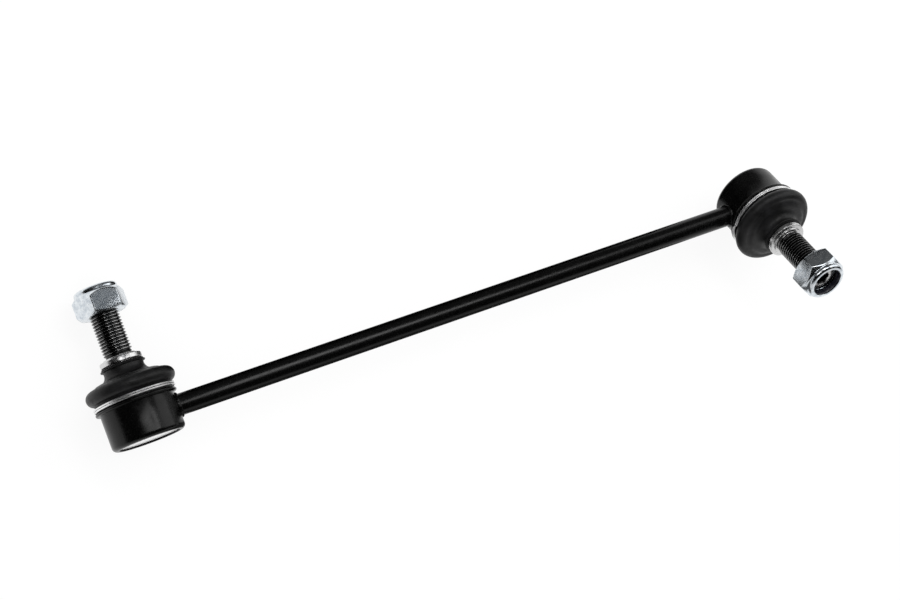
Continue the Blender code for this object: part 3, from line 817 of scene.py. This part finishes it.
def make_floor():
    """White floor that keeps a faint shadow."""
    mesh = rectangle("floor", FLOOR_SIZE, FLOOR_SIZE)
    floor = add_object("floor", mesh)
    material = bpy.data.materials.new("floor_white")
    material.use_nodes = True
    tree = material.node_tree
    tree.nodes.clear()
    output = tree.nodes.new("ShaderNodeOutputMaterial")
    diffuse = tree.nodes.new("ShaderNodeBsdfDiffuse")
    diffuse.inputs["Color"].default_value = (FLOOR_WHITE, FLOOR_WHITE, FLOOR_WHITE, 1.0)
    glow = tree.nodes.new("ShaderNodeEmission")
    glow.inputs["Color"].default_value = (*WHITE, 1.0)
    share = tree.nodes.new("ShaderNodeMath")
    share.operation = "MULTIPLY"
    share.inputs[1].default_value = 1.0 - FLOOR_SHADOW_SHARE
    tree.links.new(seen_rays(tree), share.inputs[0])
    mix = tree.nodes.new("ShaderNodeMixShader")
    tree.links.new(share.outputs[0], mix.inputs["Fac"])
    tree.links.new(diffuse.outputs[0], mix.inputs[1])
    tree.links.new(glow.outputs[0], mix.inputs[2])
    tree.links.new(mix.outputs[0], output.inputs["Surface"])
    mesh.materials.append(material)


def make_world():
    """Even white surroundings: full white where seen or mirrored, softer as a light."""
    world = bpy.data.worlds.new("world")
    bpy.context.scene.world = world
    world.use_nodes = True
    tree = world.node_tree
    background = tree.nodes["Background"]
    background.inputs["Color"].default_value = (*WHITE, 1.0)
    strength = tree.nodes.new("ShaderNodeMapRange")
    strength.inputs["To Min"].default_value = WORLD_DIFFUSE
    strength.inputs["To Max"].default_value = 1.0
    tree.links.new(seen_rays(tree), strength.inputs["Value"])
    tree.links.new(strength.outputs["Result"], background.inputs["Strength"])


def aim(obj, position, target, along=None):
    """Put a light or card at a position, its face turned to a target and its width along a direction."""
    direction = (Vector(target) - Vector(position)).normalized()
    turn = direction.to_track_quat("-Z", "Y").to_matrix()
    if along:
        side = Vector(along) - direction * direction.dot(Vector(along))
        side.normalize()
        turn = Matrix((side, side.cross(direction), -direction)).transposed()
    obj.matrix_world = Matrix.Translation(Vector(position)) @ turn.to_4x4()


def softbox(name, position, target, width, length, radiance, along=None):
    """Rectangular area light of a given radiance."""
    data = bpy.data.lights.new(name, "AREA")
    data.shape = "RECTANGLE"
    data.size = width
    data.size_y = length
    data.energy = radiance * width * length * math.pi
    aim(add_object(name, data), position, target, along)


def reflection_card(name, position, target, width, length, glow, tint):
    """Card beside the set, seen only in reflections: black, or as bright as its glow."""
    mesh = rectangle(name, width, length)
    card = add_object(name, mesh)
    material = bpy.data.materials.new(name)
    material.use_nodes = True
    shader = material.node_tree.nodes["Principled BSDF"]
    shader.inputs["Base Color"].default_value = (0.0, 0.0, 0.0, 1.0)
    shader.inputs["Roughness"].default_value = 1.0
    shader.inputs["Specular IOR Level"].default_value = 0.0
    shader.inputs["Emission Color"].default_value = (*tint, 1.0)
    shader.inputs["Emission Strength"].default_value = glow
    mesh.materials.append(material)
    card.visible_camera = False
    card.visible_diffuse = False
    card.visible_shadow = False
    card.visible_transmission = False
    aim(card, position, target)


def make_lights():
    """A narrow bright softbox high behind the link, a wide dimmer one at its right, and the cards."""
    softbox("back_box", *BACK_BOX, KEY_RADIANCE, along=BACK_BOX_ALONG)
    softbox("right_box", *RIGHT_BOX, SIDE_RADIANCE)
    for name, spot in CARDS.items():
        reflection_card(name, *spot, CARD_GLOWS.get(name, 0.0), CARD_TINTS.get(name, WHITE))


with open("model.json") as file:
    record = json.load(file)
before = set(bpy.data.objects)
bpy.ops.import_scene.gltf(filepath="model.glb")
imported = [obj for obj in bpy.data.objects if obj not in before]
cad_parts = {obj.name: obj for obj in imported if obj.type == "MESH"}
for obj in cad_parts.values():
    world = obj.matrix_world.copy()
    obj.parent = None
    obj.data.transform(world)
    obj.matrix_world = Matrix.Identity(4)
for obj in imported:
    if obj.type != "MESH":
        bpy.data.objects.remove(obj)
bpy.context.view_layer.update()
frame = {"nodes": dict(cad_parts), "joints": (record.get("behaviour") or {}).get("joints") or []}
bpy.context.scene.view_settings.view_transform = "Standard"
LOOKS = {
    "black": black_coating(),
    "rubber": boot_rubber(),
    "zinc": bright_zinc("bright_zinc", grey(0.88), grey(0.97), 900.0, 0.15),
    "wire": bright_zinc("clamp_wire", grey(0.8), grey(0.95), 900.0, 0.06, (0.3, 0.4)),
    "nut": bright_zinc("nut_zinc", (0.56, 0.61, 0.66), (0.8, 0.84, 0.87), 2300.0, 0.45),
    "stud": stud_steel(),
    "nylon": plain_plastic("nylon_ring", (0.005, 0.005, 0.011), 0.35),
    "seat": plain_plastic("seat_plastic", (0.7, 0.69, 0.63), 0.45),
    "bush": bright_zinc("bush_steel", grey(0.4), grey(0.55), 1200.0),
}
ENDS = {side: end_matrix(side) for side in SIDES}
for end_side in SIDES:
    dress_end(end_side, LOOKS, ENDS)
    recolour(end_side + "_ball_seat", LOOKS["seat"])
    recolour(end_side + "_boot_bush", LOOKS["bush"])
rod = rod_piece(ENDS, LOOKS["black"])
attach(rod, "link_body")
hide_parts("link_rod")
make_camera()
make_floor()
make_world()
make_lights()
